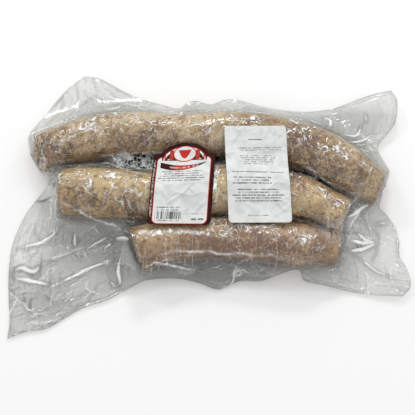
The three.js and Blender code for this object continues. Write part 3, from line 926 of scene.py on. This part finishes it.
class Nodes:
    """Short names for making and joining shader nodes."""

    def __init__(self, tree):
        self.tree = tree

    def new(self, kind, inputs=None, **settings):
        node = self.tree.nodes.new("ShaderNode" + kind)
        for key, value in settings.items():
            setattr(node, key, value)
        for key, value in (inputs or {}).items():
            self.feed(node.inputs[key], value)
        return node

    def value(self, kind, inputs, output=0, **settings):
        return Value(self, self.new(kind, inputs, **settings).outputs[output])

    def feed(self, socket, value):
        value = getattr(value, "socket", value)
        if isinstance(value, bpy.types.NodeSocket):
            self.tree.links.new(value, socket)
        elif socket.type == "RGBA":
            socket.default_value = (*value, 1)
        else:
            socket.default_value = value

    def math(self, name, a, b=0.0):
        return self.value("Math", {0: a, 1: b}, operation=name)

    def floor(self, value):
        return self.math("FLOOR", value)

    def mix(self, share, a, b):
        return self.new("Mix", {0: share, 6: a, 7: b}, data_type="RGBA", clamp_factor=True).outputs[2]

    def over(self, base, *layers):
        """Colours laid over a base in turn, each as (share, colour)."""
        for share, colour in layers:
            base = self.mix(share, base, colour)
        return base

    def span(self, value, low, high, to_low=0.0, to_high=1.0):
        """The value from low to high, turned into one between the other two."""
        return self.value("MapRange", {0: value, 1: low, 2: high, 3: to_low, 4: to_high}, clamp=True)

    def noise(self, vector, scale, detail, roughness=0.55, warp=0.0):
        return self.value("TexNoise", {
            "Vector": vector, "Scale": scale, "Detail": detail, "Roughness": roughness, "Distortion": warp})

    def cells(self, vector, scale):
        """A number for each cell, and another, and the way from the cell's middle."""
        outputs = self.new("TexVoronoi", {"Vector": vector, "Scale": scale}).outputs
        colour = self.new("SeparateColor", {0: outputs["Color"]}).outputs
        return Value(self, colour[0]), Value(self, colour[1]), Value(self, outputs["Distance"])

    def borders(self, vector, scale):
        """How far it is to the border of a cell."""
        inputs = {"Vector": vector, "Scale": scale}
        return self.value("TexVoronoi", inputs, "Distance", feature="DISTANCE_TO_EDGE")

    def moved(self, vector, by, way="ADD"):
        return self.new("VectorMath", {0: vector, 1: by}, operation=way).outputs[0]

    def warped(self, vector, scale, reach):
        """The vector moved aside by a noise, by about the reach given."""
        noise = self.new("TexNoise", {"Vector": vector, "Scale": scale, "Detail": 2.0}).outputs["Color"]
        aside = self.moved(noise, (0.5, 0.5, 0.5), "SUBTRACT")
        return self.moved(vector, self.moved(aside, (reach * 4,) * 3, "MULTIPLY"))

    def lines(self, vector, scale, width, mask_scale):
        """Broken winding lines, from 0 to 1."""
        away = abs(self.noise(vector, scale, 1, 0.5, 1.1) - 0.5)
        mask = self.noise(self.moved(vector, (0.7, 0.3, 0.5)), mask_scale, 1)
        return self.span(away, 0.25 * width, width, 1.0, 0.0) * self.span(mask, 0.54, 0.62)

    def ridged(self, vector, scale):
        """A net of sharp ridges, from 0 to 1."""
        return self.span(self.borders(vector, scale), 0.0, 0.45, 1.0, 0.0) ** 1.6

    def random(self, x, y, seed):
        """The same value from 0 to 1 for the same two whole numbers."""
        vector = self.new("CombineXYZ", {0: x, 1: y, 2: seed}).outputs[0]
        return self.value("TexWhiteNoise", {"Vector": vector}, "Value")

    def within(self, value, middle, half):
        """1 where the value is no further than half from the middle."""
        return self.value("Math", {0: value, 1: middle, 2: half}, operation="COMPARE")

    def oval(self, x, y, centre, radii):
        """1 inside an oval."""
        dx = (x - centre[0]) / radii[0]
        dy = (y - centre[1]) / radii[1]
        return dx * dx + dy * dy < 1.0

    def rounded(self, x, y, centre, halves, radius):
        """1 inside a rectangle with rounded corners."""
        dx, dy = (self.math("MAXIMUM", abs(value - middle) - (half - radius), 0.0)
                  for value, middle, half in zip((x, y), centre, halves))
        return dx * dx + dy * dy < radius ** 2

    def attribute(self, name):
        return self.value("Attribute", {}, "Fac", attribute_name=name)

    def place(self):
        return self.new("TexCoord").outputs["Object"]

    def bump(self, strength, distance, height):
        return self.new("Bump", {"Strength": strength, "Distance": distance, "Height": height}).outputs[0]

    def shader(self, kind, inputs):
        return self.new(kind, inputs).outputs[0]

    def output(self, shader):
        self.new("OutputMaterial", {"Surface": shader})


def film_material():
    """Clear film that tints what lies behind it, shines, and is finely crumpled where it is tight. Its tint
    carries painted shade, and painted white glints lie on its ridges, creases and crumples.
    """
    material, n = new_material("clear_film")
    place = n.place()
    crease, bend, shade, crumple, tight, lit, bare, bright, rim = (n.attribute(name) for name in FILM_MARKS)

    long_lines = n.lines(place, 55, 0.036, 42)
    short_lines = n.lines(n.moved(place, (0.4, 0.2, 0.1)), 100, 0.045, 60)
    facets = n.ridged(n.warped(place, 110, 0.003), 150)
    height = long_lines * 0.0008 + short_lines * 0.0005 + n.noise(place, 110, 1) * 0.0012
    height = height * (tight * 0.9 + 0.1) + facets * 0.0015 * crumple
    bump = n.bump(1.0, 1.0, height)

    facing = n.value("LayerWeight", {"Blend": 0.35}, "Facing")
    # The tint holds painted shade. It is darker by the shade mark (painted shadow beside the sausages, in the
    # crevices and in the valleys), in hollow folds and beside the creases. It is also darker at the rim and
    # where the film is seen at a slant.
    tint = n.over(
        CLEAR_TINT,
        (shade, (0.66, 0.665, 0.65)),
        (n.span(shade, 1, 2), (0.3, 0.3, 0.29)),
        (n.span(shade, 2.2, 3.4), (0.1, 0.07, 0.065)),
        (n.span(bend, -0.06, -0.4, 0, 0.45), (0.5, 0.5, 0.485)),
        (rim * 0.5, (0.5, 0.5, 0.48)),
        (n.span(crease, 0.15, 0.8, 0, 0.22), (0.4, 0.4, 0.39)),
        (n.span(facing, 0.12, 0.8, 0, 0.35), (0.55, 0.55, 0.53)),
    )

    fresnel = n.value("Fresnel", {"IOR": 1.5, "Normal": bump})
    shine = n.math("MINIMUM", fresnel * 1.25, MOST_SHINE) + crumple * 0.1
    # Less gloss over a cut face, and where the painted shadow is deepest.
    shine = shine * n.span(bare, 0, 1, 1, 0.4) * n.span(shade, 2, 3.4, 1, 0.15)

    # Painted highlights and reflections, laid on in white: silver glints on the crumples, white crease and
    # fold ridges, the painted glint lines, pale facets and crease lines on the flange, and fine scribbles on
    # the sausages where the light would catch them.
    cell = n.cells(n.warped(place, 110, 0.004), 120)[0]
    crumple_glints = n.math("MAXIMUM", n.span(cell, 0.62, 0.74), n.span(facets, 0.72, 0.86)) * crumple
    broken = n.span(n.noise(place, 95, 1), 0.4, 0.58, 0.25, 1)
    ridge = n.span(crease, 1.2, 1.9, 0, 0.75) + n.span(bend, 0.1, 0.4, 0, 0.35) + bright * broken
    creased = n.warped(place, 40, 0.006)
    flats = n.span(n.cells(creased, 38)[0], 0.3, 1) * 0.13
    edges = n.span(n.borders(creased, 38), 0.0, 0.035, 0.5, 0)
    edges = edges * n.span(n.noise(n.moved(place, (0.2, 0.6, 0)), 32, 2), 0.5, 0.62)
    ridge = ridge + (flats + edges) * n.span(tight, 0.5, 0)
    scribble = n.math("MAXIMUM", long_lines, short_lines) * tight * n.span(lit, 0, 1, 0.28, 1.0)
    haze_and_glints = n.math("MINIMUM", ridge + LEAST_HAZE + crumple_glints + scribble, 1.0) * n.span(bare, 0, 1, 1, 0.06)

    clear = n.shader("BsdfTransparent", {"Color": tint})
    white_haze_and_glints = n.shader("BsdfDiffuse", {"Color": WHITE_OF_HAZE_AND_GLINTS, "Normal": bump})
    gloss = n.shader("BsdfGlossy", {"Color": (1, 1, 1), "Roughness": 0.17, "Normal": bump})
    clear_with_haze_and_glints = n.shader("MixShader", {0: haze_and_glints, 1: clear, 2: white_haze_and_glints})
    n.output(n.shader("MixShader", {0: shine, 1: clear_with_haze_and_glints, 2: gloss}))
    return material


def meat_material(name, seed, light, mid, dark):
    """Minced meat seen through its casing: fine grain, blotches, lighter and darker patches that carry
    painted light and shade as well as the meat's own tone, and cut faces.
    """
    material, n = new_material(name)
    place = n.moved(n.place(), (0.31 * seed, 0.17 * seed, 0.07 * seed))
    broad = n.noise(place, 30, 3, 0.5, 0.5)
    blotch = n.noise(place, 88, 4, 0.6, 1.2)
    coarse = n.noise(place, 190, 4, 0.7, 1.2)
    flecks = n.noise(n.moved(place, (0.5, 0.1, 0.9)), 210, 2, 0.6, 1.4)
    grain = n.noise(place, 420, 3, 0.7, 0.5)
    # Painted light and shade: the patch marks lighten the upper sides and darken the lower front sides, along
    # with the meat's own tone.
    tone = broad * 0.9 + blotch * 0.95 + grain * 0.5 + (n.attribute("fat_and_light") - n.attribute("brown_and_shade")) * 0.22
    chance, away = n.cells(place, 130)[1:]
    specks = n.span(away, 0.17, 0.1) * (chance > 0.88)
    face = n.mix(n.span(coarse, 0.46, 0.54), (0.045, 0.023, 0.016), (0.78, 0.57, 0.41))
    base = n.over(
        dark,
        (n.span(tone, 0.91, 1.14), mid),
        (n.span(tone, 1.13, 1.42), light),
        (n.span(flecks, 0.56, 0.65, 0, 0.68), light),
        (n.span(flecks, 0.44, 0.35, 0, 0.85), dark),
        (specks * 0.75, (0.07, 0.03, 0.018)),
        (n.attribute("red") * n.span(blotch, 0.42, 0.58), (0.2, 0.05, 0.03)),
        (n.attribute("cut"), face),
    )
    n.output(n.shader("BsdfPrincipled", {
        "Base Color": base, "Roughness": 0.5, "Normal": n.bump(0.7, 0.0012, blotch * 0.6 + grain * 0.5),
        "Subsurface Weight": 0.06, "Subsurface Radius": (0.003, 0.0015, 0.001), "Subsurface Scale": 1.0,
        "Specular IOR Level": 0.3}))
    return material


def print_rows(n, x, y, base, rows):
    """Rows of bars of uneven length, like words seen from afar."""
    for seed, (left, right, low, high, count, ink, length) in enumerate(rows):
        place = (y - low) * (count / (high - low))
        row = n.floor(place)
        bar = n.within(place - row, 0.45, 0.22)
        inset = n.random(row, row, seed + 3) * (0.16 * (right - left) if count > 1 else 0.0)
        kept = abs(x - (left + right) / 2) < (right - left) / 2 - inset
        word = n.random(n.floor(x / (length * 4.5)), row, seed + 0.5)
        letter = n.random(n.floor(x / length), row, seed)
        shown = letter < n.span(word, 0, 1, ink + 0.25, ink - 0.1)
        mask = shown * bar * kept * n.within(y, (low + high) / 2, (high - low) / 2)
        base = n.mix(mask * 0.78, base, INK)
    return base


def paper_colour(n):
    tone = n.span(n.noise(n.place(), 90, 3), 0.35, 0.65)
    return n.mix(tone, (0.635, 0.655, 0.64), (0.76, 0.78, 0.765))


def label_material(name, paint):
    material, n = new_material(name)
    flat = n.new("SeparateXYZ", {0: n.new("UVMap").outputs[0]}).outputs
    x, y = (Value(n, flat[axis]) * UV_MM for axis in (0, 1))
    base = paint(n, x, y)
    place = n.place()
    crinkle = n.ridged(n.warped(place, 26, 0.012), 34) + n.noise(place, 60, 2)
    n.output(n.shader("BsdfPrincipled", {
        "Base Color": base, "Roughness": 0.6, "Specular IOR Level": 0.1,
        "Normal": n.bump(0.9, 0.0018, crinkle)}))
    return material


def paint_list(n, x, y):
    return print_rows(n, x, y, paper_colour(n), LIST_ROWS)


def paint_weight(n, x, y):
    """The weight label's fields: a dark border, a white panel, an arched head with a disc, and a ribbon."""
    paper = paper_colour(n)
    off = abs(x)
    above = y > 68.4
    strip = n.random(n.floor(y / 0.9), n.floor(x / 0.8), 9)
    marks = (strip > 0.45) * n.within(x, -30, 0.9) * n.within(y, 38, 31)
    cup = ((y - 70.8) * 4.6 - off * off > 0.0) * (y < 80.2)
    top = off ** 2 * 0.0068 + 62.6
    aside = x + 6
    low = aside * aside * 0.0108 + 56.5
    ribbon = (y < top) * (y > low) * n.within(x, -0.5, 23.6)
    ribbon_colour = n.mix(n.span(abs(x - 1), 8, 14), (0.42, 0.03, 0.02), DARK_FIELD)
    bars = (n.random(n.floor(x / 1.3), 1.0, 5) > 0.4) * n.within(x, -2, 17)
    bars = bars * (abs(y - (top + low) * 0.5) < 1.0)
    stripes = (n.random(n.floor(x / 0.55), 2.0, 7) > 0.5) * n.within(x, -11.7, 13.4) * n.within(y, 9.3, 3.9)
    base = n.over(
        DARK_FIELD,
        (n.rounded(x, y, (0, 36.5), (28.2, 36.2), 5.6), RED),
        (n.rounded(x, y, (0, 36.5), (27.4, 35.4), 5), paper),
        (marks * 0.8, LIGHT_INK),
        (n.within(x, 0, 23.4) * above, DARK_FIELD),
        (n.oval(x, y, (0, 68.8), (22.6, 15.2)) * above, RED),
        (n.oval(x, y, (0, 68.8), (21.8, 14.4)) * above, paper),
        (n.oval(x, y, (0, 68.4), (20, 12.6)) * above, DARK_FIELD),
        (n.within(off, 13.6, 2) * n.within(y, 74.5, 5.6), (0.4, 0.05, 0.03)),
        (n.within(off, 20.2, 0.6) * n.within(y, 71.6, 3.4), RED),
        (n.within(off, 16.3, 1.3) * n.within(y, 69.8, 0.8), (0.6, 0.42, 0.2)),
        (n.oval(x, y, (0, 75.6), (12.2, 9)), RED),
        (n.oval(x, y, (0, 75.9), (11, 8)), paper),
        (cup, RED),
        (ribbon, ribbon_colour),
        (bars * 0.7, LIGHT_INK),
        (stripes * 0.85, INK),
    )
    return print_rows(n, x, y, base, WEIGHT_ROWS)


def floor_material():
    material, n = new_material("pale_floor")
    n.output(n.shader("BsdfPrincipled", {"Base Color": (0.93, 0.93, 0.93), "Roughness": 0.8}))
    return material


ELEVATION = math.radians(72)
DISTANCE = 800
TARGET = (-1.5, -9, 14)
FRAME_WIDTH = 415
MM_PER_PIXEL = 1.06
SENSOR = 36
WORLD = 0.75
FLOOR_REACH = 4000


def make_camera():
    data = bpy.data.cameras.new("camera")
    camera = add_object("camera", data)
    bpy.context.scene.camera = camera
    data.sensor_width = SENSOR
    data.lens = SENSOR * DISTANCE / (FRAME_WIDTH * MM_PER_PIXEL)
    data.clip_start = 0.01
    x, y, z = TARGET
    place = (x, y - DISTANCE * math.cos(ELEVATION), z + DISTANCE * math.sin(ELEVATION))
    camera.location = [value * MM for value in place]
    camera.rotation_euler = (math.pi / 2 - ELEVATION, 0, 0)


def make_light(name, place, size, power):
    data = bpy.data.lights.new(name, "AREA")
    data.shape = "RECTANGLE"
    data.size, data.size_y = size
    data.energy = power
    lamp = add_object(name, data)
    lamp.location = place
    lamp.rotation_euler = (-lamp.location).to_track_quat("-Z", "Y").to_euler()


def make_world(strength):
    world = bpy.data.worlds.new("dome")
    world.use_nodes = True
    background = world.node_tree.nodes["Background"]
    background.inputs[0].default_value = (1, 1, 1, 1)
    background.inputs[1].default_value = strength
    bpy.context.scene.world = world


def make_floor():
    corners = [[x * FLOOR_REACH, y * FLOOR_REACH, 0] for x, y in ((-1, -1), (1, -1), (1, 1), (-1, 1))]
    floor = new_mesh("floor", corners, [[0, 1, 2, 3]], False)
    floor.data.materials.append(floor_material())


def main():
    bpy.context.scene.view_settings.view_transform = "Standard"
    make_camera()
    make_world(WORLD)
    make_light("key", (0.05, 1.35, 1.05), (0.26, 0.16), 6)
    make_light("left", (-0.85, 1.05, 1.1), (0.18, 0.14), 3.5)
    make_light("right", (0.9, 0.8, 1.2), (0.18, 0.14), 3)
    make_light("front", (-0.3, -0.5, 1.7), (0.14, 0.12), 1.5)
    make_floor()

    plan = film_grid()
    film = film_material()
    upper = make_film("film_top", plan, False, LEVELS, SEED + 10)
    lower = make_film("film_bottom", plan, True, LEVELS[:2], SEED + 11)
    for piece in (upper, lower):
        piece.data.materials.append(film)
        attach(piece, "root")
        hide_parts("bag")
    tones = {
        "sausage_back": ((0.70, 0.54, 0.33), (0.41, 0.26, 0.125), (0.16, 0.082, 0.04)),
        "sausage_middle": ((0.72, 0.54, 0.275), (0.43, 0.27, 0.12), (0.17, 0.088, 0.04)),
        "sausage_front": ((0.64, 0.46, 0.275), (0.42, 0.25, 0.13), (0.23, 0.122, 0.068)),
    }
    for k, sausage in enumerate(SAUSAGES):
        piece = make_sausage(sausage)
        piece.data.materials.append(meat_material("meat_" + sausage.name, k + 1, *tones[sausage.name]))
        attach(piece, "root")
        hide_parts("bag")
    labels = (
        ("weight_label", WEIGHT_LABEL, WEIGHT_FOLDS, paint_weight, "label_print", SEED + 11),
        ("list_label", LIST_LABEL, LIST_FOLDS, paint_list, "label_paper", SEED + 12),
    )
    for name, label, folds, paint, slot, seed in labels:
        piece = make_label(name + "_paper", label, folds, seed)
        piece.data.materials.append(label_material(name + "_print", paint))
        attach(piece, "root")
        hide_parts(name)


main()
